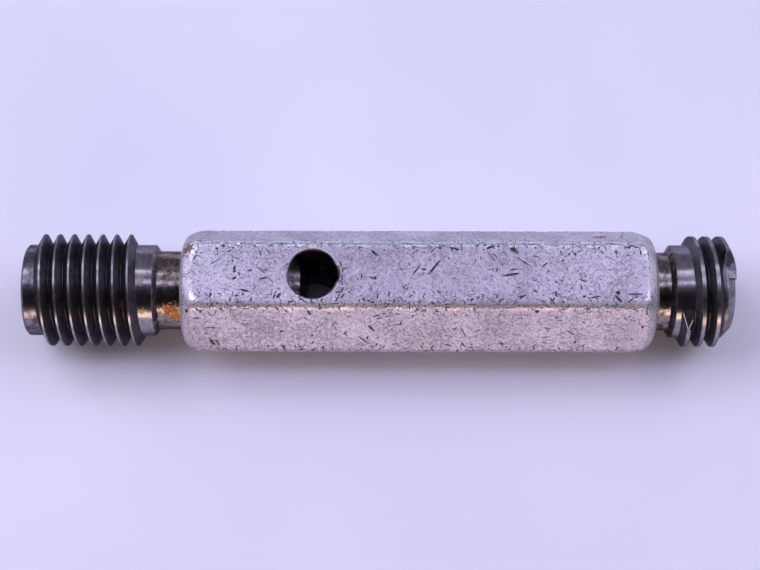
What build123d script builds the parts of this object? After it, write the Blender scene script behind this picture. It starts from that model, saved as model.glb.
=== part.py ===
from build123d import *

import os
from math import ceil, cos, radians, sin, sqrt, tan

# Double-ended thread plug gauge: a GO and a NOT-GO member wedged by their tapers in a hexagonal handle.
# Millimetres. The gauge lies along X on one flat of its handle, with the GO end towards -X, Z = 0 under
# it and the origin below the middle of its length. Angles round its axis run from +Y towards +Z.

# Nominal size: the thread's major diameter, and the width of the hexagonal bar across its flats
nominal_diameter = 22.225

# Thread form, right hand, shared by both members
pitch = 2.8222
flank_angle = 30.0
root_flat = 0.06
foot_depth = 0.02
runout_angle = 24.0
overrun_ratio = 1.25
span_angle = 45.0

# GO member
go_major_diameter = nominal_diameter
go_crest_flat = 0.353
go_length = 25.25
go_thread_setback = 2.89
go_thread_turns = 6.8
go_thread_start_angle = -31.8
go_edge_break = 0.4
go_collar_chamfer = 0.87
go_neck_length = 4.6

# NOT-GO member
not_go_truncation = 0.135
not_go_major_diameter = nominal_diameter - not_go_truncation
not_go_crest_flat = 0.706
not_go_length = 11.6
not_go_thread_setback = 2.43
not_go_thread_turns = 2.75
not_go_front_turns = 0.65
not_go_thread_start_angle = 150.2
not_go_edge_break = 1.6
not_go_collar_chamfer = 0.89
not_go_neck_length = 2.62

# Centre holes in the members' end faces, on which they are ground
centre_mouth_diameter = 3.15
centre_drill_diameter = 1.25
centre_drill_depth = 3.2
centre_angle = 60.0

# Taper shanks and the bores that they wedge in
taper_ratio = 1 / 48
mouth_wall = 3.3625
taper_mouth_diameter = nominal_diameter - 2 * mouth_wall
taper_clearance = 0.01
shank_depth = 24.5
shank_end_chamfer = 1.2
taper_bore_depth = 27.0

# Handle
handle_length = 93.3
across_flats = nominal_diameter
edge_radius = 1.3
end_rim_inset = 0.9
corner_runout = 3.0
knockout_bore_diameter = 9.5

# Drift hole across the handle, with its worn rim and the dent that the drift has left
drift_hole_diameter = 9.7
drift_hole_setback = 25.86
drift_hole_bevel = 0.3
drift_dent_diameter = 6.4
drift_dent_reach = 0.65
drift_dent_lean = 40.0

# Stations along X
go_overhang = go_length + go_collar_chamfer + go_neck_length
not_go_overhang = not_go_length + not_go_collar_chamfer + not_go_neck_length
overall_length = go_overhang + handle_length + not_go_overhang
go_end_x = -overall_length / 2
go_mouth_x = go_end_x + go_overhang
not_go_mouth_x = go_mouth_x + handle_length
not_go_end_x = overall_length / 2
drift_hole_x = go_mouth_x + drift_hole_setback

axis_height = across_flats / 2
corner_radius = across_flats / sqrt(3)

# Frame of the gauge's axis: its local Z runs along X and its local X points along Y
AXIS_FRAME = Plane(origin=(0, 0, axis_height), x_dir=(0, 1, 0), z_dir=(1, 0, 0))


def root_radius(major_diameter, crest_flat):
    """Radius at which the flanks of a V thread end on the root flat."""
    thread_height = (pitch - crest_flat - root_flat) / 2 / tan(radians(flank_angle))
    return major_diameter / 2 - thread_height


def taper_radius(depth):
    """Radius of the locking taper at a depth inside a mouth of the handle."""
    return (taper_mouth_diameter - depth * taper_ratio) / 2


def turned_profile(points):
    """Solid of revolution about Z from (radius, height) points, closed along the axis."""
    outline = Polyline((0, points[0][1]), *points, (0, points[-1][1]), close=True)
    return revolve(Plane.XZ * make_face(outline), Axis.Z)


def centre_hole(face_x, inwards):
    """Outline of a centre hole in an end face, as (radius, height) points from its bottom to its mouth."""
    mouth = centre_mouth_diameter / 2
    drill = centre_drill_diameter / 2
    cone_depth = (mouth - drill) / tan(radians(centre_angle / 2))
    return [
        (drill, face_x + inwards * centre_drill_depth),
        (drill, face_x + inwards * cone_depth),
        (mouth, face_x),
    ]


def polar(radius, angle):
    """Point at a radius and an angle in degrees about Z."""
    return Vector(radius * cos(radians(angle)), radius * sin(radians(angle)), 0)


def ridge_stretch(lines, begin, finish, count):
    """Solid between two shares of a ridge's helical edge lines, with count sets of ruled faces."""
    faces = []
    for index in range(count):
        shares = [begin + (finish - begin) * step / count for step in (index, index + 1)]
        edges = [line.trim(*shares) for line in lines]
        faces += [Face.make_surface_from_curves(a, b) for a, b in zip(edges, edges[1:] + edges[:1])]
    for share in (begin, finish):
        faces.append(Face(Wire.make_polygon([line.position_at(share) for line in lines], close=True)))
    return Solid(Shell(faces))


def runout_cutter(crest_point, foot_point):
    """Block on the flat from a crest to a foot of the ridge, where the incomplete end is ground away."""
    slope = (crest_point - foot_point).normalized()
    middle = (crest_point + foot_point) / 2
    outward = (middle - slope * middle.dot(slope)).normalized()
    flat = Plane(origin=middle, x_dir=slope, z_dir=outward)
    reach = crest_point.length
    width = 4 * pitch
    return flat * Box(2 * reach, width, reach, align=(Align.CENTER, Align.CENTER, Align.MIN))


def ridge_section(major_radius, crest_flat, foot_radius, front_radius):
    """Corners of a ridge as (radius, height) points, its outer flank ending at the front radius."""
    half_crest = crest_flat / 2
    slope = tan(radians(flank_angle))
    half_foot = half_crest + (major_radius - foot_radius) * slope
    half_front = half_crest + (major_radius - front_radius) * slope
    corners = [(major_radius, -half_crest), (major_radius, half_crest), (front_radius, half_front)]
    if front_radius < foot_radius:
        corners.append((front_radius, -half_foot))
    corners.append((foot_radius, -half_foot))
    return corners


def thread_ridge(major_diameter, crest_flat, turns, front_turns=0.0, front_depth=0.0):
    """Stretches of a thread about Z whose first full crest is at angle 0 and height 0.

    Both ends are ground to flats. In the last front turns the outer flank runs on below the root by the
    front depth, so that it meets a bevelled end of the plug.
    """
    major_radius = major_diameter / 2
    foot_radius = root_radius(major_diameter, crest_flat) - foot_depth
    # The edge lines overrun the flats at both ends, so that each flat meets the foot inside its stretch
    overrun = runout_angle * overrun_ratio
    sweep = 360 * turns + 2 * overrun
    start = Location((0, 0, -pitch * overrun / 360), (0, 0, -overrun))

    def edge_lines(front_radius):
        rise = pitch * sweep / 360
        lines = []
        for radius, offset in ridge_section(major_radius, crest_flat, foot_radius, front_radius):
            lines.append(start * Edge.make_helix(pitch, rise, radius, center=(0, 0, offset)))
        return lines

    def stretch(lines, begin_angle, end_angle):
        begin, finish = [(angle + overrun) / sweep for angle in (begin_angle, end_angle)]
        return ridge_stretch(lines, begin, finish, ceil((end_angle - begin_angle) / span_angle))

    last_angle = 360 * turns
    front_angle = last_angle - 360 * front_turns
    plain_lines = edge_lines(foot_radius)
    front_lines = edge_lines(foot_radius - front_depth)
    ridge = [stretch(plain_lines, 0, front_angle)]
    if front_turns > 0:
        ridge.append(stretch(front_lines, front_angle, last_angle))
    ends = [
        (stretch(plain_lines, -overrun, 0), 0, -runout_angle),
        (stretch(front_lines, last_angle, last_angle + overrun), last_angle, last_angle + runout_angle),
    ]
    for end, crest_angle, foot_angle in ends:
        height = pitch * crest_angle / 360
        cutter = runout_cutter(polar(major_radius, crest_angle), polar(foot_radius, foot_angle))
        ridge.append(end - Pos(0, 0, height) * cutter)
    return ridge


def go_member():
    """GO plug: pilot, thread and collar on one root cylinder, then the taper shank."""
    radius = root_radius(go_major_diameter, go_crest_flat)
    collar_x = go_end_x + go_length
    shank_end_x = go_mouth_x + shank_depth
    body = turned_profile(
        [
            *centre_hole(go_end_x, 1),
            (radius - go_edge_break, go_end_x),
            (radius, go_end_x + go_edge_break),
            (radius, collar_x),
            (taper_radius(-go_neck_length), collar_x + go_collar_chamfer),
            (taper_radius(shank_depth - shank_end_chamfer), shank_end_x - shank_end_chamfer),
            (taper_radius(shank_depth) - shank_end_chamfer, shank_end_x),
            *reversed(centre_hole(shank_end_x, -1)),
        ]
    )
    place = Pos(0, 0, go_end_x + go_thread_setback) * Rot(0, 0, go_thread_start_angle)
    for stretch in thread_ridge(go_major_diameter, go_crest_flat, go_thread_turns):
        body += place * stretch
    return AXIS_FRAME * body


def not_go_member():
    """NOT-GO plug: taper shank, collar, short thread and the bevelled front end."""
    radius = root_radius(not_go_major_diameter, not_go_crest_flat)
    collar_x = not_go_end_x - not_go_length
    shank_end_x = not_go_mouth_x - shank_depth
    body = turned_profile(
        [
            *centre_hole(shank_end_x, 1),
            (taper_radius(shank_depth) - shank_end_chamfer, shank_end_x),
            (taper_radius(shank_depth - shank_end_chamfer), shank_end_x + shank_end_chamfer),
            (taper_radius(-not_go_neck_length), collar_x - not_go_collar_chamfer),
            (radius, collar_x),
            (radius, not_go_end_x - not_go_edge_break),
            (radius - not_go_edge_break, not_go_end_x),
            *reversed(centre_hole(not_go_end_x, -1)),
        ]
    )
    place = Pos(0, 0, collar_x + not_go_thread_setback) * Rot(0, 0, not_go_thread_start_angle)
    stretches = thread_ridge(
        not_go_major_diameter,
        not_go_crest_flat,
        not_go_thread_turns,
        not_go_front_turns,
        not_go_edge_break,
    )
    for stretch in stretches:
        body += place * stretch
    beyond_end = Cylinder(not_go_major_diameter, not_go_length)
    body -= Pos(0, 0, not_go_end_x + not_go_length / 2) * beyond_end
    return AXIS_FRAME * body


def handle_bar():
    """Hexagonal bar with worn edges, its corners cut back at both ends by a turned chamfer."""
    hexagon = RegularPolygon(axis_height, 6, major_radius=False)
    bar = Pos(0, 0, go_mouth_x) * extrude(fillet(hexagon.vertices(), edge_radius), handle_length)
    rim_radius = axis_height - end_rim_inset
    lathe_outline = turned_profile(
        [
            (rim_radius, go_mouth_x),
            (corner_radius, go_mouth_x + corner_runout),
            (corner_radius, not_go_mouth_x - corner_runout),
            (rim_radius, not_go_mouth_x),
        ]
    )
    return bar & lathe_outline


def taper_bore():
    """Tool for one taper bore, with its mouth at height 0 and its depth along +Z."""
    mouth = taper_radius(0) + taper_clearance
    bottom = taper_radius(taper_bore_depth) + taper_clearance
    return turned_profile([(mouth, 0), (bottom, taper_bore_depth)])


def drift_tools():
    """Tool for the drift hole with its worn rims, and tool for the dent on the rim at the NOT-GO side."""
    radius = drift_hole_diameter / 2
    hole = turned_profile(
        [
            (radius + drift_hole_bevel, -axis_height),
            (radius, drift_hole_bevel - axis_height),
            (radius, axis_height - drift_hole_bevel),
            (radius + drift_hole_bevel, axis_height),
        ]
    )
    dent_centre = radius + drift_dent_reach - drift_dent_diameter / 2 / cos(radians(drift_dent_lean))
    dent = Rot(0, drift_dent_lean, 0) * Cylinder(drift_dent_diameter / 2, drift_dent_diameter)
    return hole, Pos(dent_centre, 0, axis_height) * dent


def handle():
    """Hexagonal handle with a taper bore in each end, a knock-out bore between them and a drift hole."""
    bar = handle_bar()
    bar -= Pos(0, 0, go_mouth_x) * taper_bore()
    bar -= Pos(0, 0, not_go_mouth_x) * Rot(180, 0, 0) * taper_bore()
    knockout_length = handle_length - taper_bore_depth * 2
    knockout_middle = (go_mouth_x + not_go_mouth_x) / 2
    bar -= Pos(0, 0, knockout_middle) * Cylinder(knockout_bore_diameter / 2, knockout_length)
    bar = AXIS_FRAME * bar
    for tool in drift_tools():
        bar -= Pos(drift_hole_x, 0, axis_height) * tool
    return bar


os.makedirs("parts", exist_ok=True)
for name, make in (("handle", handle), ("go_member", go_member), ("not_go_member", not_go_member)):
    export_step(make(), f"parts/{name}.step")
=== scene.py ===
"""Looks of a double-ended thread plug gauge: a worn hexagonal handle and two ground steel members."""
import logging
import math
import random
from dataclasses import dataclass, field
from enum import Enum
from functools import reduce
from typing import Iterable, NamedTuple, Sequence

import bmesh
import bpy
from mathutils import Matrix, Vector, noise
from mathutils.bvhtree import BVHTree


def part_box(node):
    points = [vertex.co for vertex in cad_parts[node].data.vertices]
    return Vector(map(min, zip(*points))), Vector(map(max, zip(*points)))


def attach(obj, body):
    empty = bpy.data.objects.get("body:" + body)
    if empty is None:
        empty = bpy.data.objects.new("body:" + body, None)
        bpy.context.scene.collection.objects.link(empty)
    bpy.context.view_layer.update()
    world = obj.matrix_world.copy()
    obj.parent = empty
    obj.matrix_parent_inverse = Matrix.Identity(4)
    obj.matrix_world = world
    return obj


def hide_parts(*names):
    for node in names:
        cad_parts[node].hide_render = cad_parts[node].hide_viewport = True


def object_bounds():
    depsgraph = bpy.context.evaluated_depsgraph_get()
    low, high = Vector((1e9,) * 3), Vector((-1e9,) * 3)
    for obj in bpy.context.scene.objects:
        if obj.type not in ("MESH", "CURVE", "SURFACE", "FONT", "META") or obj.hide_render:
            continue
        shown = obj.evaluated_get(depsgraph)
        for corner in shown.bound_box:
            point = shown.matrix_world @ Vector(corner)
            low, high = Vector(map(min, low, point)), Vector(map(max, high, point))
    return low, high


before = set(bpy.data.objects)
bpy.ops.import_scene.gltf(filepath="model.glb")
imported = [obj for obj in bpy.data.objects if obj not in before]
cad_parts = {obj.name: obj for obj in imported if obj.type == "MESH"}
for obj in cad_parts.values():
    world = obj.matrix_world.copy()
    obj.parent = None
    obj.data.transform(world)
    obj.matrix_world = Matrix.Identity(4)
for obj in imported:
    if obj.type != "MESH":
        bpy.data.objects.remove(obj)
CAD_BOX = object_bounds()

LOG = logging.getLogger("plug_gauge")
MM = 0.001
BODY = "root"
HANDLE_NODE = "handle"

# Gaps in millimetres within which the triangles of a loaded node are merged and slivers are dropped
MERGE_GAP = 0.001
SLIVER = 0.0001

Colour = tuple[float, float, float]
Stroke = tuple[float, float, float, float]
PixelSpot = tuple[float, float, float]
Spot = tuple[Vector, float]
Socket = bpy.types.NodeSocket
Feed = Socket | float | Sequence[float]
Feeds = dict[str | int, Feed]


class Weight(Enum):
    """Width and depth of a nick at its middle, in millimetres."""

    HAIR = (0.13, 0.035)
    FINE = (0.20, 0.06)
    PLAIN = (0.30, 0.09)
    DEEP = (0.46, 0.14)
    BLOT = (0.80, 0.14)


class Combine(Enum):
    """Ways to combine two solids."""

    CUT = "DIFFERENCE"
    COMMON = "INTERSECT"


# Nicks that show most, listed as lines between two pixels of the picture frame
HANDLE_NICKS: dict[Weight, tuple[Stroke, ...]] = {
    Weight.DEEP: (
        (234.5, 263.6, 233.3, 273.8), (231.0, 279.4, 236.5, 275.8), (237.3, 288.5, 250.3, 291.2),
        (208.4, 298.0, 211.0, 291.0), (275.0, 298.4, 281.0, 291.6), (369.6, 249.0, 379.0, 256.5),
        (420.0, 268.7, 426.7, 269.0), (426.3, 276.0, 442.0, 257.0), (455.6, 242.0, 456.4, 251.7),
        (485.0, 248.6, 496.3, 244.6), (500.0, 275.8, 522.0, 272.3), (469.4, 301.0, 473.0, 297.6),
        (591.8, 243.4, 599.3, 249.3), (574.8, 251.3, 575.0, 256.0), (613.5, 293.6, 622.6, 302.7),
        (650.0, 295.6, 655.0, 298.4), (235.0, 300.7, 240.5, 306.0), (276.0, 302.0, 277.0, 308.0),
        (207.6, 336.0, 218.0, 349.3), (278.0, 330.4, 284.0, 330.8), (354.5, 314.0, 359.7, 302.3),
        (306.0, 308.6, 311.0, 315.7), (366.4, 323.6, 375.0, 331.6), (514.5, 302.0, 524.7, 315.7),
        (550.3, 300.7, 551.0, 306.3), (555.5, 290.0, 555.8, 297.6),
    ),
    Weight.PLAIN: (
        (332.6, 261.4, 338.4, 260.6), (338.4, 260.6, 342.0, 266.0), (342.0, 266.0, 342.2, 273.0),
        (342.2, 273.0, 340.6, 280.0), (340.6, 280.0, 343.0, 286.0), (343.0, 286.0, 341.6, 291.6),
        (341.6, 291.6, 333.6, 291.4), (191.0, 260.0, 197.0, 254.0), (226.0, 252.0, 232.0, 249.0),
        (246.0, 270.7, 252.7, 269.0), (256.7, 278.6, 268.0, 276.6), (242.0, 291.0, 242.4, 296.0),
        (232.5, 296.0, 239.0, 294.0), (229.4, 296.0, 229.4, 302.0), (182.0, 299.5, 190.0, 296.0),
        (259.0, 248.0, 260.6, 256.5), (361.3, 273.0, 361.0, 278.6), (367.0, 276.0, 378.0, 279.0),
        (410.0, 277.0, 422.0, 262.0), (401.6, 284.5, 405.0, 289.0), (405.0, 289.0, 408.3, 286.5),
        (388.5, 290.0, 388.5, 297.6), (361.0, 296.8, 365.6, 301.0), (338.7, 295.6, 334.4, 301.5),
        (391.7, 245.0, 399.6, 249.3), (429.0, 252.5, 435.4, 247.0), (477.0, 241.4, 479.7, 247.0),
        (508.0, 269.5, 518.4, 268.3), (516.8, 300.0, 527.5, 292.8), (532.0, 289.0, 538.0, 292.4),
        (496.7, 301.5, 504.6, 297.6), (560.0, 250.0, 560.6, 253.0), (577.5, 278.0, 587.0, 282.0),
        (580.7, 283.0, 581.5, 291.0), (549.0, 297.6, 554.0, 302.0), (587.0, 298.0, 603.0, 295.0),
        (625.0, 293.6, 645.0, 293.6), (649.5, 287.0, 654.6, 289.0), (640.0, 249.0, 640.4, 255.7),
        (646.0, 244.6, 653.0, 249.3), (223.0, 307.8, 229.4, 304.3), (265.0, 307.0, 270.0, 304.0),
        (192.0, 317.7, 199.0, 318.0), (213.0, 338.7, 220.7, 345.0), (282.7, 343.4, 284.7, 348.0),
        (361.7, 306.0, 364.8, 303.0), (342.7, 334.7, 346.6, 329.6), (357.0, 335.0, 369.0, 344.0),
        (310.7, 343.8, 314.0, 340.0), (322.5, 344.0, 323.7, 350.0), (374.7, 319.0, 382.0, 316.5),
        (400.4, 320.5, 400.4, 325.0), (507.0, 307.4, 514.0, 307.4), (530.7, 302.7, 532.0, 307.0),
        (460.0, 340.0, 465.0, 347.4), (500.0, 339.5, 501.8, 346.6), (560.6, 300.0, 565.0, 302.0),
        (583.0, 308.6, 588.0, 308.6), (565.0, 329.0, 575.6, 335.5), (649.0, 319.0, 654.6, 321.0),
    ),
    Weight.FINE: (
        (184.0, 273.0, 197.0, 263.0), (207.0, 265.0, 223.0, 256.5), (254.0, 265.0, 265.7, 273.4),
        (269.0, 278.6, 274.4, 282.5), (485.0, 249.0, 496.0, 262.0), (511.7, 254.0, 534.6, 268.3),
        (549.0, 242.0, 563.0, 241.0), (402.0, 242.0, 410.7, 242.6), (566.5, 266.7, 567.0, 269.5),
        (584.0, 277.0, 586.0, 273.5), (610.0, 284.0, 612.7, 280.6), (204.5, 327.0, 216.0, 327.0),
        (458.0, 323.0, 467.4, 339.5), (540.0, 336.5, 550.0, 336.7),
    ),
    Weight.BLOT: (
        (222.0, 245.0, 224.5, 245.4), (237.5, 273.4, 239.5, 273.4), (373.5, 277.4, 376.0, 278.0),
        (392.5, 300.0, 395.0, 300.2), (508.5, 247.0, 518.0, 251.7), (615.5, 290.4, 620.0, 294.0),
        (534.0, 310.0, 539.0, 312.0), (184.5, 309.0, 187.5, 311.5), (430.5, 303.0, 436.6, 310.4),
        (573.0, 341.5, 575.5, 342.0), (365.6, 337.0, 368.0, 337.0), (640.5, 326.4, 643.5, 326.4),
    ),
}

# Dents on the bevelled front of the NOT-GO member
FRONT_DENTS: dict[Weight, tuple[Stroke, ...]] = {
    Weight.BLOT: (
        (722.0, 281.0, 726.0, 285.5), (724.0, 302.0, 726.0, 308.0), (722.8, 318.0, 725.0, 324.0),
    ),
}


def link_object(name: str, data: bpy.types.ID) -> bpy.types.Object:
    """Make an object that holds some data.

    Args:
        name: Name of the object.
        data: Its mesh, light or camera.

    Returns:
        The object, linked to the scene.
    """
    linked = bpy.data.objects.new(name, data)
    bpy.context.scene.collection.objects.link(linked)
    return linked


def solid(name: str, shape: bmesh.types.BMesh) -> bpy.types.Object:
    """Return a new object with a finished shape as its mesh, and free the shape.

    Args:
        name: Name of the object and its mesh.
        shape: The finished shape.

    Returns:
        The object, linked to the scene.
    """
    mesh = bpy.data.meshes.new(name)
    shape.to_mesh(mesh)
    shape.free()
    return link_object(name, mesh)


@dataclass(frozen=True)
class PictureView:
    """Camera of the picture: its angles, its distance and its frame.

    Angles are in degrees, places in metres, the lens and sensor in millimetres and the frame in pixels.
    """

    azimuth: float = -2.006
    elevation: float = 72.667
    roll: float = 2.064
    distance: float = 0.3176
    aim: tuple[float, float, float] = (0.000185, 0.0, 0.0111125)
    rise: float = 0.00115
    lens: float = 75.33
    sensor: float = 36.0
    near_clip: float = 0.01
    frame_width: int = 760
    frame_height: int = 570

    def axes(self) -> Matrix:
        """Work out how the camera is turned.

        Returns:
            Its right, up and back directions as the columns of a matrix.
        """
        azimuth, elevation, roll = (math.radians(a) for a in (self.azimuth, self.elevation, self.roll))
        level = math.cos(elevation)
        back = Vector((math.sin(azimuth) * level, -math.cos(azimuth) * level, math.sin(elevation)))
        right = Vector((math.cos(azimuth), math.sin(azimuth), 0.0))
        up = back.cross(right)
        turned_right = right * math.cos(roll) + up * math.sin(roll)
        turned_up = up * math.cos(roll) - right * math.sin(roll)
        return Matrix((turned_right, turned_up, back)).transposed()

    def eye(self) -> Vector:
        """Return the camera's place."""
        axes = self.axes()
        return Vector(self.aim) + axes.col[2] * self.distance + axes.col[1] * self.rise

    def ray(self, pixel_x: float, pixel_y: float) -> Vector:
        """Return the direction in which a pixel of the frame is seen.

        Args:
            pixel_x: Pixel column, counted from the left.
            pixel_y: Pixel row, counted from the top.

        Returns:
            A unit vector from the eye.
        """
        focal = self.lens / self.sensor * self.frame_width
        across = (pixel_x + 0.5 - self.frame_width / 2) / focal
        upward = (self.frame_height / 2 - pixel_y - 0.5) / focal
        return (self.axes() @ Vector((across, upward, -1.0))).normalized()

    def meet(self, tree: BVHTree, pixel_x: float, pixel_y: float) -> tuple[Vector | None, Vector | None]:
        """Return the place where a pixel shows a surface and the normal there, or None for both."""
        return tree.ray_cast(self.eye(), self.ray(pixel_x, pixel_y))[:2]

    def spots(self, tree: BVHTree, pixels: Iterable[PixelSpot]) -> tuple[Spot, ...]:
        """Return where blotches lie on a surface.

        Args:
            tree: Search tree of the surface.
            pixels: Column, row and reach in millimetres of each blotch.

        Returns:
            The place and reach of each blotch that meets the surface.
        """
        places = ((self.meet(tree, x, y)[0], reach) for x, y, reach in pixels)
        return tuple((place, reach) for place, reach in places if place is not None)

    def build(self) -> bpy.types.Object:
        """Make the camera and set it as the scene's own.

        Returns:
            The camera, linked to the scene.
        """
        data = bpy.data.cameras.new("picture_view")
        data.lens = self.lens
        data.sensor_width = self.sensor
        data.clip_start = self.near_clip
        camera = link_object("picture_view", data)
        camera.matrix_world = Matrix.Translation(self.eye()) @ self.axes().to_4x4()
        bpy.context.scene.camera = camera
        return camera


class Cloud(NamedTuple):
    """Noise: its waves to the unit, its detail and how rough that detail is."""

    waves: float
    detail: float = 2.0
    roughness: float = 0.5


class Speckle(NamedTuple):
    """Specks made from noise, with the noise at which a speck begins and is full."""

    cloud: Cloud
    begins: float
    full: float


class HairRun(NamedTuple):
    """Hair lines one way: turn in degrees, waves to the millimetre each way, and noise where they begin."""

    turn: float
    along: float
    across: float
    begins: float


class TickRun(NamedTuple):
    """Ticks of one size: cells to the millimetre, half length and width in cells, share, and shift."""

    cells: float
    length: float
    width: float
    share: float
    shift: tuple[float, float] = (0.0, 0.0)


class NodeGraph:
    """Builder of the shader nodes of one material or world."""

    def __init__(self, tree: bpy.types.NodeTree) -> None:
        """Clear a node tree and take it over."""
        self.tree = tree
        tree.nodes.clear()

    def add(self, kind: str, feeds: Feeds | None = None, **settings: object) -> bpy.types.Node:
        """Add a node.

        Args:
            kind: Blender's name of the node's type.
            feeds: What each input takes, by name or number: a socket, or a fixed value.
            **settings: Properties of the node.

        Returns:
            The new node.
        """
        node = self.tree.nodes.new(kind)
        for name, value in settings.items():
            setattr(node, name, value)
        for name, value in (feeds or {}).items():
            if isinstance(value, Socket):
                self.tree.links.new(value, node.inputs[name])
            else:
                node.inputs[name].default_value = value
        return node

    def math(self, operation: str, first: Feed, second: Feed = 0.0) -> Socket:
        """Return the result of a Math node."""
        return self.add("ShaderNodeMath", {0: first, 1: second}, operation=operation).outputs[0]

    def plus(self, *parts: Feed) -> Socket:
        """Return the sum of values."""
        return reduce(lambda total, part: self.math("ADD", total, part), parts)

    def times(self, *parts: Feed) -> Socket:
        """Return the product of values."""
        return reduce(lambda total, part: self.math("MULTIPLY", total, part), parts)

    def most(self, *parts: Feed) -> Socket:
        """Return the greatest of values."""
        return reduce(lambda total, part: self.math("MAXIMUM", total, part), parts)

    def less(self, first: Feed, second: Feed) -> Socket:
        """Return the first value less the second."""
        return self.math("SUBTRACT", first, second)

    def size(self, value: Socket) -> Socket:
        """Return a value without its sign."""
        return self.math("ABSOLUTE", value)

    def squares(self, *parts: Socket) -> Socket:
        """Return the sum of the squares of values."""
        return self.plus(*(self.math("POWER", part, 2.0) for part in parts))

    def vector(self, operation: str, feeds: Feeds) -> Socket:
        """Return the result of a Vector Math node: a number where it measures, else a vector."""
        measures = operation in ("DISTANCE", "DOT_PRODUCT")
        return self.add("ShaderNodeVectorMath", feeds, operation=operation).outputs[int(measures)]

    def millimetres(self) -> Socket:
        """Return the object's own coordinates in millimetres."""
        place = self.add("ShaderNodeTexCoord").outputs["Object"]
        return self.vector("SCALE", {0: place, "Scale": 1 / MM})

    def axes(self, place: Socket) -> tuple[Socket, Socket, Socket]:
        """Return the three parts of a vector."""
        parts = self.add("ShaderNodeSeparateXYZ", {0: place})
        return parts.outputs[0], parts.outputs[1], parts.outputs[2]

    def joined(self, first: Socket, second: Socket) -> Socket:
        """Return a vector of two parts."""
        return self.add("ShaderNodeCombineXYZ", {0: first, 1: second}).outputs[0]

    def mapped(self, place: Socket, scale: Sequence[float], turn: float = 0.0) -> Socket:
        """Return coordinates turned about Z, then stretched.

        Args:
            place: The coordinates to change.
            scale: Factor along each turned axis.
            turn: Angle in degrees.

        Returns:
            The new coordinates.
        """
        angles = (0.0, 0.0, math.radians(turn))
        turned = self.add("ShaderNodeMapping", {"Vector": place, "Rotation": angles}).outputs[0]
        return self.add("ShaderNodeMapping", {"Vector": turned, "Scale": scale}).outputs[0]

    def noise(self, place: Socket, cloud: Cloud) -> Socket:
        """Return a noise value about 0.5."""
        feeds = {"Vector": place, "Scale": cloud.waves, "Detail": cloud.detail, "Roughness": cloud.roughness}
        return self.add("ShaderNodeTexNoise", feeds).outputs[0]

    def fade(self, value: Socket, low: float, high: float, first: float = 0.0, last: float = 1.0) -> Socket:
        """Return a smooth step between two limits.

        Args:
            value: The value to step on.
            low: Where the step begins.
            high: Where the step ends.
            first: Result at the low limit.
            last: Result at the high limit.

        Returns:
            The stepped value.
        """
        feeds = {0: value, 1: low, 2: high, 3: first, 4: last}
        return self.add("ShaderNodeMapRange", feeds, interpolation_type="SMOOTHSTEP").outputs[0]

    def speckle(self, place: Socket, look: Speckle) -> Socket:
        """Return specks: 1 inside, 0 outside."""
        return self.fade(self.noise(place, look.cloud), look.begins, look.full)

    def blend(self, share: Feed, first: Feed, second: Feed) -> Socket:
        """Return the mix of two colours by a share of the second.

        Args:
            share: Share of the second colour.
            first: One colour.
            second: The other colour.

        Returns:
            The mixed colour.
        """
        colours = [value if isinstance(value, Socket) else (*value, 1.0) for value in (first, second)]
        feeds = {0: share, 6: colours[0], 7: colours[1]}
        return self.add("ShaderNodeMix", feeds, data_type="RGBA").outputs[2]

    def tint(self, under: Feed, mark: Feed, strength: float, over: Feed) -> Socket:
        """Return a colour with another laid over it where a mark is, at a strength."""
        return self.blend(self.times(mark, strength), under, over)

    def radius(self, place: Socket, height: float) -> Socket:
        """Return the distance from the gauge's axis, which lies along X at a height in millimetres."""
        _, across, up = self.axes(place)
        return self.math("SQRT", self.squares(across, self.less(up, height)))

    def ticks(self, flat: Socket, run: TickRun) -> Socket:
        """Return short strokes that lie at random, one in each of a share of the cells.

        Args:
            flat: Coordinates on the rolled-out surface.
            run: Sizes of the strokes.

        Returns:
            1 in a stroke, 0 outside.
        """
        shifted = self.vector("ADD", {0: flat, 1: (*run.shift, 0.0)})
        feeds = {"Vector": shifted, "Scale": run.cells}
        cell = self.add("ShaderNodeTexVoronoi", feeds, voronoi_dimensions="2D")
        scaled = self.vector("SCALE", {0: shifted, "Scale": run.cells})
        centre = self.vector("SCALE", {0: cell.outputs["Position"], "Scale": run.cells})
        offset = self.vector("SUBTRACT", {0: scaled, 1: centre})
        chance, turn, extent = self.axes(cell.outputs["Color"])
        feeds = {"Vector": offset, "Angle": self.times(turn, math.tau)}
        turned = self.add("ShaderNodeVectorRotate", feeds, rotation_type="Z_AXIS").outputs[0]
        along, across, _ = self.axes(turned)
        reach = self.plus(self.times(extent, 0.8), 0.4)
        long_part = self.math("DIVIDE", along, self.times(reach, run.length))
        wide_part = self.math("DIVIDE", across, self.times(reach, run.width))
        inside = self.fade(self.squares(long_part, wide_part), 1.0, 0.45)
        return self.times(inside, self.fade(chance, run.share, run.share * 0.4))

    def near(self, place: Socket, centre: Vector, reach: float, uneven: Socket) -> Socket:
        """Return a blotch round a point, with an uneven rim.

        Args:
            place: Coordinates in millimetres.
            centre: The point in metres.
            reach: Radius of the blotch in millimetres.
            uneven: Noise about 0.5 that pulls the rim in and out.

        Returns:
            1 inside the blotch, 0 outside.
        """
        distance = self.vector("DISTANCE", {0: place, 1: tuple(centre / MM)})
        pull = self.times(self.less(uneven, 0.5), reach * 4.5)
        return self.fade(self.plus(distance, pull), reach * 1.1, reach * 0.6)

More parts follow.
